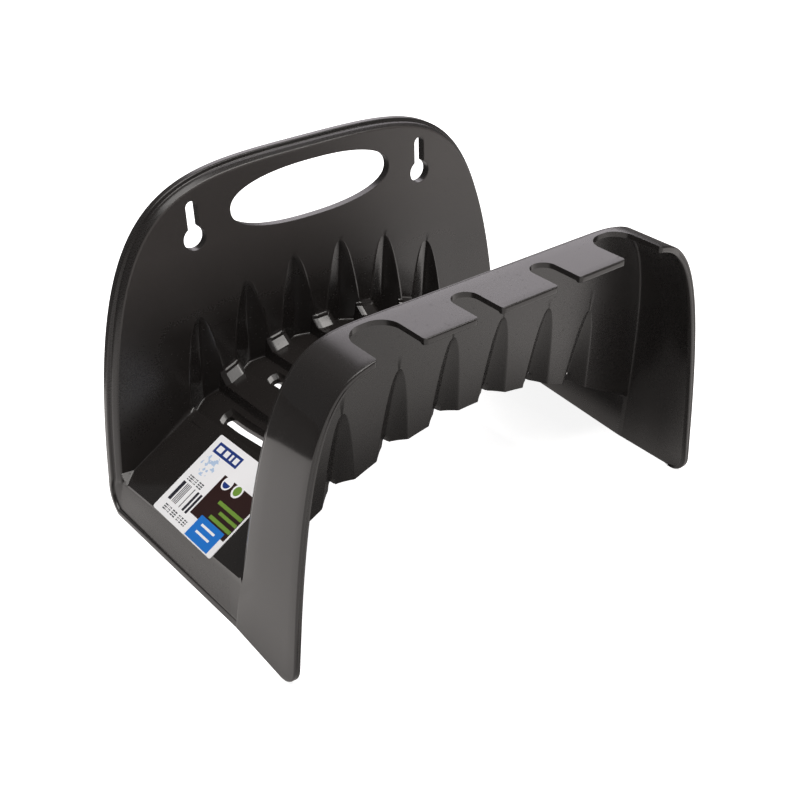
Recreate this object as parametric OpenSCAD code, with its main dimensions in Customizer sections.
// Wall hose hanger: one moulded shell, bent into a channel that holds the coiled hose.
// Frame: x = 0 is the plane of symmetry, y = 0 is the wall, the front is toward -y,
// and z = 0 is the lower edge of the two legs.

/* [Shell] */
// Thickness of the moulded wall
wall_t = 2.5; // [2:0.1:3]
// Width of the back at its lower corners, against the wall
back_w = 262; // [250:1:300]
// Height of the back above the lower edge of the legs
back_h = 170.4; // [168:1:190]
// How far the front of the back panel stands off the wall
panel_y = 8.5; // [8.5:0.1:10]

/* [Back outline] */
// How far the top edge runs out flat, as a share of the half width
top_pull = 0.65; // [0.62:0.01:0.72]
// How high the side edge runs up before it turns, as a share of the height
side_pull = 1.01; // [0.96:0.01:1.03]
// How far the side edge leans in at that height
side_lean = 12.9; // [8:0.5:18]
// Width of the rolled rim round the back
rim_w = 4.4; // [3.6:0.1:5.5]

/* [Keyholes] */
// Distance between the two keyholes
key_pitch = 136; // [126:1:146]
// Distance from the top of the back down to the round entry
key_drop = 33.7; // [30:0.1:36]
// Diameter of the round entry, which passes the screw head
key_head_d = 12; // [10:0.5:13]
// Width of the slot, which holds the screw shank
key_slot_w = 6; // [4:0.5:7]
// How far the slot rises from the entry to the screw's seat
key_rise = 16.1; // [12:0.5:18]
// Distance from the entry's edge down to the lower edge of the plain plate
plate_edge = 9; // [7:0.5:12]

/* [Hand slot] */
// Distance from the top of the back down to the slot's centre
hand_drop = 25; // [23:0.5:27]
// Length of the slot
hand_w = 95.2; // [85:1:105]
// Height of the slot
hand_h = 29.8; // [24:0.5:32]
// Roundness of the slot: 2 is an ellipse, more is squarer
hand_n = 2.3; // [2:0.1:3]

/* [Flutes] */
// Number of flutes across the hanger
flute_count = 6; // [4:2:6]
// Distance from flute to flute
flute_pitch = 28.9; // [27:0.1:30]
// Height of a flute in the back above the saddle
back_flute_h = 45; // [38:1:48]
// Half width of a flute in the back, at its foot
back_flute_r = 11; // [9:0.5:12]
// Depth of a flute in the back, at its foot
back_flute_d = 5.8; // [4:0.1:6]
// Height of a flute in the front wall above the saddle
front_flute_h = 42.5; // [36:0.5:46]
// Half width of a flute in the front wall, at its foot
front_flute_r = 8.6; // [7:0.1:10]
// Depth of a flute in the front wall, at its foot
front_flute_d = 6.4; // [4:0.1:8]

/* [Saddle] */
// Height of the saddle's crown where it meets the back
crown_z = 67.8; // [66:0.5:70]
// Height of its lower corners where they meet the back
end_z = 19; // [15:0.5:24]
// Run of the sloping ends, from the arch to the back's lower corner
end_run = 52; // [50:0.5:54]
// Width of the flat bar at each end, past the arch
end_bar = 7; // [5:0.5:9]
// Rise of the saddle toward the front, per millimetre
saddle_rise = 0.085; // [0.05:0.005:0.12]
// Distance from the back's lower corner in to the rim's foot
edge_inset = 5.8; // [5.5:0.1:6.5]
// Radius of the fillets where the saddle meets the back and the front wall
fillet_r = 3; // [1:0.5:4]
// Depth of the drained valleys between the saddle's bars
valley_d = 4.6; // [3:0.1:6]
// Width of the drain slots
drain_w = 4; // [3:0.1:4]
// Distance from the back panel to the start of a drain slot
drain_start = 19; // [16:1:26]
// How far the slots rise into the front wall
drain_rise = 2.5; // [1:0.5:4]

/* [Front wall] */
// Distance from the wall to the front wall's face, at z = 0
front_y0 = 120.6; // [118:0.5:126]
// Forward lean of the front wall, per millimetre of height
front_lean = 0.1418; // [0.12:0.005:0.16]

/* [Front flange] */
// Height of the flange's top
flange_z = 147.8; // [146:0.2:150]
// Distance from the wall to the flange's front edge
reach = 170; // [166:0.5:176]
// Depth of the bead along the front of each tooth
bead_h = 4.6; // [3.5:0.1:6]
// Thickness of that bead
bead_t = 2.6; // [2:0.1:3.5]
// Chamfer along the bead's lower edge
bead_c = 0.9; // [0.5:0.1:1.2]
// Depth and half width of the fine groove along the bead
groove = 0.5; // [0.2:0.1:0.8]
// Half width of the middle tooth
tooth_x = 15.3; // [13:0.1:17]
// Width of a middle notch
notch_w = 12.7; // [10:0.1:14]
// How far the middle notches stop from the wall
notch_y = 148; // [146:0.5:152]
// Half width from the centre to the inner side of a corner notch
corner_x0 = 55; // [52:0.5:57]
// Half width from the centre to the outer side of a corner notch
corner_x1 = 80.5; // [78:0.5:82]
// How far the corner notches stop from the wall
corner_y = 144.5; // [144:0.5:147]
// Radius of the notches' inner corners
notch_r = 6.3; // [4:0.1:6.3]
// Radius of the teeth's front corners
tooth_r = 4; // [1:0.5:6]

/* [Legs] */
// Distance from the back's lower corner in to the legs' feet
foot_inset = 6.4; // [5:0.2:9]
// Half width at which the flange starts to curve down into the leg
bend_x = 62.5; // [60:0.5:65]
// How far the curve runs out flat
bend_out = 36.7; // [33:0.5:40]
// Distance from the feet in to the curve's lower handle
bend_in = 12.9; // [10:0.5:16]
// Height of the curve's lower handle
bend_z2 = 141.3; // [134:0.5:146]
// Thickness of the lip along the legs' front edge
lip_t = 3.4; // [3:0.1:5]
// Distance from the wall to the legs' front edge, at their feet
leg_reach = 166.4; // [160:0.2:170]
// Forward lean of that edge, per millimetre of height
leg_lean = 0.018; // [0:0.002:0.03]
// Depth of that lip
lip_d = 3; // [2:0.1:5]
// Radius of the feet's front corner
foot_r = 10; // [5:0.5:12]
// Radius of the lower corner against the wall
heel_r = 12; // [8:0.5:14]
// How far the flange runs on past the start of its bend
join_w = 4; // [2:0.5:6]

/* [Label] */
// Width of the label, along the slope
label_w = 48; // [40:1:50]
// Length of the label, toward the front
label_l = 58; // [50:1:64]
// Thickness of the label
label_t = 0.3; // [0.2:0.05:0.5]
// Gap from the foot of the rim to the label
label_gap = 1; // [0.5:0.1:2]
// Distance from the wall to the label
label_y = 40.7; // [36:0.5:46]

/* [Hidden] */

dark = [0.15, 0.145, 0.145];
mid = [0.22, 0.215, 0.21];
light = [0.3, 0.29, 0.29];

half_w = back_w / 2;
key_z = back_h - key_drop;
hand_z = back_h - hand_drop;
edge_x = half_w - edge_inset;
foot_x = half_w - foot_inset;
bend_x2 = foot_x - bend_in;
arch_x = half_w - end_run;
first_flute = (flute_count - 1) / 2;
flute_xs = [for (i = [-first_flute : first_flute]) i * flute_pitch];
clear = 1;                       // how far a cutter runs past what it cuts
corner_fn = 48;

// The cubic curve with end points a and d and handles b and c
function curve(a, b, c, d, t) =
    a * pow(1 - t, 3) + 3 * b * t * pow(1 - t, 2) + 3 * c * t * t * (1 - t) + d * pow(t, 3);
function unit(v) = v / norm(v);
function mix(a, b, s) = a * (1 - s) + b * s;
function flat(lists) = [for (list = lists) each list];
function flipped(points) = [for (i = [len(points) - 1 : -1 : 0]) points[i]];
function mirrored(points) = [for (p = flipped(points)) [-p.x, p.y]];

// Where a curve, given as function(t), comes down to a height
function t_at(line, z, lo = 0, hi = 1, n = 24) =
    let (m = (lo + hi) / 2)
    n == 0 ? m : line(m).y > z ? t_at(line, z, m, hi, n - 1) : t_at(line, z, lo, m, n - 1);

// Outline of the back against the wall, t = 0 at the top and 1 at the lower corner
rim_outer = function(t) curve([0, back_h], [top_pull * half_w, back_h],
                              [half_w - side_lean, side_pull * back_h], [half_w, 0], t);
function outward(line, t) =
    let (step = 0.001, d = unit(line(min(t + step, 1)) - line(max(t - step, 0)))) [-d.y, d.x];
rim_inner = function(t) rim_outer(t) - rim_w * outward(rim_outer, t);

// Outline of the leg and of the bend into the flange, t = 0 on the flange and 1 at the foot
leg_outer = function(t) curve([bend_x, flange_z], [bend_x + bend_out, flange_z],
                              [bend_x2, bend_z2], [foot_x, 0], t);
leg_inner = function(t) leg_outer(t) - wall_t * outward(leg_outer, t);

// Height of the saddle at the back panel, without its valleys: an arch and two straight slopes.
// The arch's radius is the one whose slopes come down to end_z.
function sagitta(r) = r - sqrt(r * r - arch_x * arch_x);
function slope_of(r) = arch_x / sqrt(r * r - arch_x * arch_x);
function fall(r) = sagitta(r) + slope_of(r) * (edge_x - arch_x);
function radius_for(drop, lo, hi, n = 30) =
    let (m = (lo + hi) / 2)
    n == 0 ? m : fall(m) > drop ? radius_for(drop, m, hi, n - 1) : radius_for(drop, lo, m, n - 1);
arch_r = radius_for(crown_z - end_z, arch_x * 1.01, arch_x * 10);
arch_drop = sagitta(arch_r);
end_slope = slope_of(arch_r);
function arch_z(x) = abs(x) < arch_x
    ? crown_z - arch_r + sqrt(pow(arch_r, 2) - x * x)
    : crown_z - arch_drop - end_slope * (abs(x) - arch_x);
function saddle_z(x, y) = arch_z(x) + saddle_rise * (-y - panel_y);

// The front wall's face, the back of that wall, and where the saddle's upper face ends on it
function face_y(z) = -front_y0 - front_lean * z;
function inside_y(z) = face_y(z) + wall_t;
function front_of(x) = inside_y(saddle_z(x, face_y(arch_z(x))));

// Section across a flute: k runs from -1 to 1 over its width
ks = [-1, -0.75, -0.5, -0.25, 0, 0.25, 0.5, 0.75, 1];
function dish(k) = 1 - pow(abs(k), 1.35);
// How a flute tapers: f = 0 at its foot, 1 at its tip
function taper_w(f) = max(pow(1 - f, 0.45), 0.06);
function taper_d(f) = pow(1 - f, 0.7);

// Closed solid between two grids of points, a in front of b
module sheet(a, b) {
    rows = len(a);
    cols = len(a[0]);
    n = rows * cols;
    function ia(r, c) = r * cols + c;
    function ib(r, c) = n + r * cols + c;
    polyhedron(concat(flat(a), flat(b)), concat(
        [for (r = [0 : rows - 2], c = [0 : cols - 2]) each [
            [ia(r, c), ia(r + 1, c + 1), ia(r, c + 1)], [ia(r, c), ia(r + 1, c), ia(r + 1, c + 1)],
            [ib(r, c), ib(r, c + 1), ib(r + 1, c + 1)], [ib(r, c), ib(r + 1, c + 1), ib(r + 1, c)]]],
        [for (c = [0 : cols - 2]) each [
            [ia(0, c), ia(0, c + 1), ib(0, c + 1)], [ia(0, c), ib(0, c + 1), ib(0, c)],
            [ia(rows - 1, c), ib(rows - 1, c + 1), ia(rows - 1, c + 1)],
            [ia(rows - 1, c), ib(rows - 1, c), ib(rows - 1, c + 1)]]],
        [for (r = [0 : rows - 2]) each [
            [ia(r, 0), ib(r + 1, 0), ia(r + 1, 0)], [ia(r, 0), ib(r, 0), ib(r + 1, 0)],
            [ia(r, cols - 1), ia(r + 1, cols - 1), ib(r + 1, cols - 1)],
            [ia(r, cols - 1), ib(r + 1, cols - 1), ib(r, cols - 1)]]]));
}

// Closed solid through a row of sections with equal numbers of points
module loft(sections) {
    n = len(sections[0]);
    last = len(sections) - 1;
    polyhedron(flat(sections), concat(
        [[for (i = [0 : n - 1]) i]],
        [for (s = [0 : last - 1], i = [0 : n - 1]) let (j = (i + 1) % n) each [
            [s * n + i, (s + 1) * n + i, (s + 1) * n + j], [s * n + i, (s + 1) * n + j, s * n + j]]],
        [[for (i = [n - 1 : -1 : 0]) last * n + i]]));
}

// A column of a fluted wall is [x, top, k]: k is 0 on the ribs' own lines outside the flutes
function flute_columns(top) = [for (x = flute_xs, k = ks) [x, k, top]];

// Rows of a fluted wall, as shares of the way from its foot to the flutes' tips.
// A last row follows the wall's top edge.
rows_f = [0, 0.2, 0.4, 0.6, 0.75, 0.87, 0.95, 0.99, 1];
tip_room = 0.93;                 // the tips stay this share of the way to the top edge
function row_z(f, foot, tip, top) = mix(foot, min(tip, mix(foot, top, tip_room)), f);

/* Back panel */
corner_z = saddle_z(edge_x, -panel_y);
t_end = t_at(rim_outer, corner_z);
split_z = key_z - key_head_d / 2 - plate_edge;
t_split = t_at(rim_inner, split_z);
side_steps = 8;
top_steps = 14;
side_ts = [for (i = [1 : side_steps]) mix(t_end, t_split, i / side_steps)];
top_ts = [for (i = [1 : top_steps]) mix(t_split, 0, i / top_steps)];
side_line = concat([[edge_x, corner_z]], [for (t = side_ts) rim_inner(t)]);   // lower corner to split
top_line = [for (t = top_ts) rim_inner(t)];                                   // split to top centre

module keyhole() {
    circle(d = key_head_d, $fn = corner_fn);
    translate([-key_slot_w / 2, 0]) square([key_slot_w, key_rise]);
    translate([0, key_rise]) circle(d = key_slot_w, $fn = corner_fn);
}

function hand_point(a) = [
    hand_w / 2 * sign(cos(a)) * pow(abs(cos(a)), 2 / hand_n),
    hand_z + hand_h / 2 * sign(sin(a)) * pow(abs(sin(a)), 2 / hand_n)];

module hanging_plate() {
    edge = concat([side_line[side_steps]], top_line);
    color(mid) translate([0, -panel_y + wall_t, 0]) rotate([90, 0, 0]) linear_extrude(wall_t)
        difference() {
            polygon(concat(edge, [for (i = [top_steps - 1 : -1 : 0]) [-edge[i].x, edge[i].y]]));
            for (s = [-1, 1]) translate([s * key_pitch / 2, key_z]) keyhole();
            polygon([for (a = [0 : 6 : 354]) hand_point(a)]);
        }
}

// Front of the fluted back at a column and a row
back_top = function(x) abs(x) <= side_line[side_steps].x ? split_z
    : lookup(abs(x), [for (p = flipped(side_line)) [p.x, p.y]]);
function valley(k, g) = valley_d * dish(k) * (1 - g);
function back_foot(x, k) = arch_z(x) + saddle_rise * -back_flute_d * dish(k) - valley(k, 0) - wall_t;

function back_column(x0, k, is_flute) = [for (f = concat(rows_f, [2]))
    let (w = is_flute ? back_flute_r * (f > 1 ? 1 : taper_w(f)) : 0,
         x = x0 + k * w,
         foot = back_foot(x, is_flute ? k : 1),
         top = back_top(x),
         z = f > 1 ? top : row_z(f, foot, arch_z(x) + back_flute_h, top),
         d = is_flute && f < 1 ? back_flute_d * taper_d(f) * dish(k) : 0)
    [x, -panel_y + d, z]];

function spread(n, a, b) = [for (i = [1 : n]) mix(a, b, i / (n + 1))];
flute_edge = flute_xs[flute_count - 1] + back_flute_r;
back_side_xs = concat(spread(2, flute_edge, side_line[side_steps].x), [for (p = flipped(side_line)) p.x]);
function transpose(grid) = [for (r = [0 : len(grid[0]) - 1]) [for (c = grid) c[r]]];

back_grid = transpose(concat(
    [for (x = flipped(back_side_xs)) back_column(-x, 0, false)],
    [for (x = flute_xs, k = ks) back_column(x, k, true)],
    [for (x = back_side_xs) back_column(x, 0, false)]));
function moved(grid, v) = [for (row = grid) [for (p = row) p + v]];

module fluted_back()
    color(dark) sheet(back_grid, moved(back_grid, [0, wall_t, 0]));

/* Rim and skirts */
// Profile points [q, e, b]: q is the share of the way outward, e the share of the way toward
// the outer edge, and b the number of wall thicknesses back from the outer face
rim_profile = [[0, 0, 0], [0.25, 0.03, 0], [0.55, 0.3, 0], [0.62, 0.46, 0], [0.54, 0.5, 0],
               [0.62, 0.55, 0], [0.92, 0.58, 0], [1, 0.66, 0], [1, 1, 0], [0.45, 1, 0], [0.36, 0.62, 0]];
skirt_profile = [[0, 0, 0], [0.06, 0.05, 0], [0.35, 0.4, 0], [0.74, 0.83, 0], [0.7, 0.845, 0],
                 [0.76, 0.86, 0], [0.95, 0.87, 0], [1, 0.9, 0], [1, 1, 0], [1, 1, 1], [0.6, 0.7, 1]];

// Section from an inner point p, out by w along u and on by d along v
function section(profile, p, u, w, v, d, seat) = concat(
    [for (q = profile) p + u * (q[0] * w - q[2] * wall_t) + v * (q[1] * d)],
    [p + v * seat]);

function rim_section(t) =
    let (n = outward(rim_outer, t), p = rim_inner(t))
    section(rim_profile, [p.x, -panel_y, p.y], [n.x, 0, n.y], rim_w, [0, 1, 0], panel_y, wall_t);
corner_w = rim_outer(t_end).x - edge_x;
rim_foot = section(rim_profile, [edge_x, -panel_y, corner_z], [1, 0, 0], corner_w,
                   [0, 1, 0], panel_y, wall_t);
function mirror_x(points) = [for (p = points) [-p.x, p.y, p.z]];

module plate_rim() {
    half = concat([rim_foot], [for (t = concat(side_ts, top_ts)) rim_section(t)]);
    color(dark) loft(concat(half, [for (i = [len(half) - 2 : -1 : 0]) mirror_x(half[i])]));
}

// The skirt turns round the panel's lower corner and runs forward to the front wall
edge_front = leg_outer(t_at(leg_outer, saddle_z(foot_x, face_y(0)))).x;
front_z = saddle_z(edge_front, front_of(edge_front));
function heel_reach(a) =
    let (box = min(panel_y / max(cos(a), 0.001), corner_z / max(sin(a), 0.001)),
         cy = panel_y - heel_r, cz = corner_z - heel_r,
         b = cy * cos(a) + cz * sin(a),
         c = cy * cy + cz * cz - heel_r * heel_r,
         arc = b + sqrt(max(b * b - c, 0)),
         hit_y = arc * cos(a), hit_z = arc * sin(a))
    hit_y > cy && hit_z > cz ? min(arc, box) : box;

function heel_section(a) =
    let (s = a / 90)
    section(mix(rim_profile, skirt_profile, s), [edge_x, -panel_y, corner_z], [1, 0, 0],
            mix(corner_w, half_w - edge_x, s), [0, cos(a), -sin(a)], heel_reach(a), wall_t);

skirt_front = let (flat_section = section(skirt_profile, [edge_front, 0, front_z], [1, 0, 0],
                                          foot_x - edge_front, [0, 0, -1], front_z, wall_t))
    [for (p = flat_section) [p.x, inside_y(p.z), p.z]];

module skirt() loft(concat([skirt_front], [for (a = [90 : -18 : 0]) heel_section(a)]));

module right_skirt() color(mid) skirt();
module left_skirt() color(mid) mirror([1, 0, 0]) skirt();

/* Saddle and end panels */
panel_x0 = arch_x + end_bar;

// Height of a fillet of radius r at a distance from the wall it runs into
function fillet(distance, r) = distance < r ? r - sqrt(r * r - pow(r - distance, 2)) : 0;

// Rows of the saddle, as shares of the way from the back to the front wall.
// The rows close to either end carry the fillets.
function saddle_rows(depth) =
    let (near = [for (s = [0, 0.3, 1]) s * fillet_r / depth])
    concat(near, [0.18, 0.5], [for (g = flipped(near)) 1 - g]);

function saddle_column(x0, k, is_flute, r) =
    let (dip = is_flute ? dish(k) : 0,
         depth = front_y0 + front_lean * crown_z - panel_y)
    [for (g = saddle_rows(depth))
        let (x = x0 + (is_flute ? k * mix(back_flute_r, front_flute_r, g) : 0),
             back = -panel_y + back_flute_d * dip,
             front = front_of(x) + front_flute_d * dip,
             y = mix(back, front, g),
             lift = r > 0 ? fillet(back - y, r) + fillet(y - front, r) : 0)
        [x, y, saddle_z(x, y) - (is_flute ? valley(k, g) : 0) + lift]];

function saddle_grid(r) = transpose(concat(
    [saddle_column(-panel_x0, 0, false, 0)],       // the fillets fade out toward the end panels
    [for (x = flute_xs, k = ks) saddle_column(x, k, true, r)],
    [saddle_column(panel_x0, 0, false, 0)]));

// A drain slot runs from a round end in the saddle to the front wall
slot_y = -panel_y - drain_start - drain_w / 2;
slot_end = face_y(crown_z) + front_flute_d;
module drain_slot(x) {
    translate([x, slot_y, 0]) cylinder(d = drain_w, h = back_h, $fn = corner_fn);
    translate([x - drain_w / 2, slot_end, 0]) cube([drain_w, slot_y - slot_end, back_h]);
}

module saddle()
    color(dark) difference() {
        sheet(moved(saddle_grid(0), [0, 0, -wall_t]), saddle_grid(fillet_r));
        for (x = flute_xs) drain_slot(x);
    }

// Points of the end panel's upper face: from the saddle's edge to the skirt
function panel_point(x, back) =
    let (y = back ? -panel_y : front_of(x)) [x, y, saddle_z(x, y)];
end_grid = [[panel_point(panel_x0, true), panel_point(edge_x, true)],
            [panel_point(panel_x0, false), panel_point(edge_front, false)]];

module right_end_panel() color(dark) sheet(moved(end_grid, [0, 0, -wall_t]), end_grid);
module left_end_panel() color(dark) mirror([1, 0, 0]) right_end_panel();

/* Front wall */
flange_under = flange_z - wall_t;
leg_steps = 20;
leg_line = [for (i = [0 : leg_steps]) leg_inner(i / leg_steps)];
web_top = function(x) min(flange_under, lookup(abs(x), leg_line));
function front_foot(x) = saddle_z(x, face_y(arch_z(x))) - wall_t;
flutes_end = flute_xs[flute_count - 1] + front_flute_r + clear;
web_line = [for (p = leg_line) if (p.y > front_foot(p.x) + clear && p.x > flutes_end) p.x];

top_share = 0.5;                 // width of the points over a flute in the wall's top row
function front_column(x0, k, is_flute) = [for (f = concat(rows_f, [2]))
    let (w = is_flute ? front_flute_r * (f > 1 ? top_share : taper_w(f)) : 0,
         x = x0 + k * w,
         foot = front_foot(x),
         top = web_top(x),
         z = f > 1 ? top : row_z(f, foot, foot + wall_t + front_flute_h, top),
         d = is_flute && f < 1 ? front_flute_d * taper_d(f) * dish(k) : 0)
    [x, face_y(z) + d, z]];

front_grid = transpose(concat(
    [for (x = flipped(web_line)) front_column(-x, 0, false)],
    [for (x = flute_xs, k = ks) front_column(x, k, true)],
    [for (x = web_line) front_column(x, 0, false)]));

// The drain slots come out through the wall's foot, with a round top
module slot_mouth(x) {
    top = front_foot(x) + wall_t + drain_rise - drain_w / 2;
    translate([x, 0, top]) rotate([90, 0, 0]) cylinder(d = drain_w, h = reach, $fn = corner_fn);
    translate([x - drain_w / 2, -reach, 0]) cube([drain_w, reach, top]);
}

module front_wall()
    color(mid) difference() {
        sheet(front_grid, moved(front_grid, [0, wall_t, 0]));
        for (x = flute_xs) slot_mouth(x);
    }

/* Front flange */
flange_back = inside_y(flange_under);
flange_join = bend_x + join_w;
// The two front corners beside a notch, outside their rounding
module tooth_corner(x, side)
    translate([x, -reach]) scale([side, 1]) difference() {
        translate([0, -clear]) square([tooth_r, tooth_r + clear]);
        translate([tooth_r, tooth_r]) circle(r = tooth_r, $fn = corner_fn);
    }

module round_notch(x0, x1, y) {
    r = min(notch_r, (x1 - x0) / 2);
    tooth_corner(x0, -1);
    tooth_corner(x1, 1);
    translate([x0 + r, -y - r]) circle(r = r, $fn = corner_fn);
    translate([x1 - r, -y - r]) circle(r = r, $fn = corner_fn);
    translate([x0 + r, -y - r]) square([x1 - x0 - 2 * r, r]);
    translate([x0, -reach - clear]) square([x1 - x0, reach + clear - y - r]);
}

module corner_notch() round_notch(corner_x0, corner_x1, corner_y);

// Bead under the front edge of a tooth, with a fine groove along it
bead_profile = [[0, 0], [bead_h, 0], [bead_h, bead_t - bead_c], [bead_h - bead_c, bead_t],
                [bead_h / 2 + groove, bead_t], [bead_h / 2, bead_t - groove], [bead_h / 2 - groove, bead_t],
                [bead_c, bead_t], [0, bead_t - bead_c]];
module bead(x0, x1)
    translate([x0, -reach + bead_t, flange_z - bead_h]) rotate([0, -90, 180]) linear_extrude(x1 - x0)
        polygon(bead_profile);

module front_flange() {
    notch_x1 = tooth_x + notch_w;
    color(light) {
        difference() {
            union() {
                translate([-flange_join, -reach + bead_t / 2, flange_under])
                    cube([2 * flange_join, reach - bead_t / 2 + flange_back, wall_t]);
                bead(-tooth_x, tooth_x);
                for (s = [0, 1]) mirror([s, 0, 0]) bead(notch_x1, corner_x0);
            }
            translate([0, 0, flange_z - bead_h - clear]) linear_extrude(bead_h + 2 * clear)
                for (s = [0, 1]) mirror([s, 0]) {
                    round_notch(tooth_x, notch_x1, notch_y);
                    corner_notch();
                }
        }
    }
}

/* Legs */
function band(t0, thick) = concat(
    [for (i = [0 : leg_steps]) leg_outer(mix(t0, 1, i / leg_steps))],
    [for (i = [leg_steps : -1 : 0]) let (t = mix(t0, 1, i / leg_steps))
        leg_outer(t) - thick * outward(leg_outer, t)]);

// Side view [y, z] of the leg, from the front wall's back to the leaning front edge
module leg_side(grow) {
    front_top = leg_reach + leg_lean * flange_z - grow;
    difference() {
        polygon([[inside_y(0), 0], [-leg_reach + grow, 0], [-front_top, flange_z + clear],
                 [inside_y(flange_z + clear), flange_z + clear]]);
        if (grow == 0) translate([-leg_reach, 0]) difference() {
            translate([-clear, -clear]) square(foot_r + clear);
            translate([foot_r, foot_r]) circle(r = foot_r, $fn = corner_fn);
        }
    }
}
module side_prism(w, grow) rotate([90, 0, 90]) linear_extrude(w) leg_side(grow);

module leg() {
    t0 = t_at(function(t) [0, -leg_outer(t).x], -flange_join);
    difference() {
        intersection() {
            union() {
                rotate([90, 0, 0]) linear_extrude(2 * reach) polygon(band(t0, wall_t));
                difference() {
                    rotate([90, 0, 0]) linear_extrude(2 * reach) polygon(band(t0, lip_t));
                    translate([-clear, 0, 0]) side_prism(half_w, lip_d);
                }
            }
            side_prism(half_w, 0);
        }
        linear_extrude(flange_z + clear) corner_notch();
    }
}

module right_leg() color(mid) leg();
module left_leg() color(mid) mirror([1, 0, 0]) leg();

/* Label */
module product_label() {
    slope = sqrt(1 + end_slope * end_slope);
    x0 = edge_x - label_gap;
    x1 = x0 - label_w / slope;
    function at(x, y, lift) = [-x, y, saddle_z(x, y) + lift];
    low = [[at(x1, -label_y - label_l, 0), at(x0, -label_y - label_l, 0)],
           [at(x1, -label_y, 0), at(x0, -label_y, 0)]];
    color("white") sheet(low, moved(low, [0, 0, label_t]));
}

hanging_plate();
fluted_back();
plate_rim();
saddle();
left_end_panel();
right_end_panel();
front_wall();
front_flange();
left_leg();
right_leg();
left_skirt();
right_skirt();
product_label();
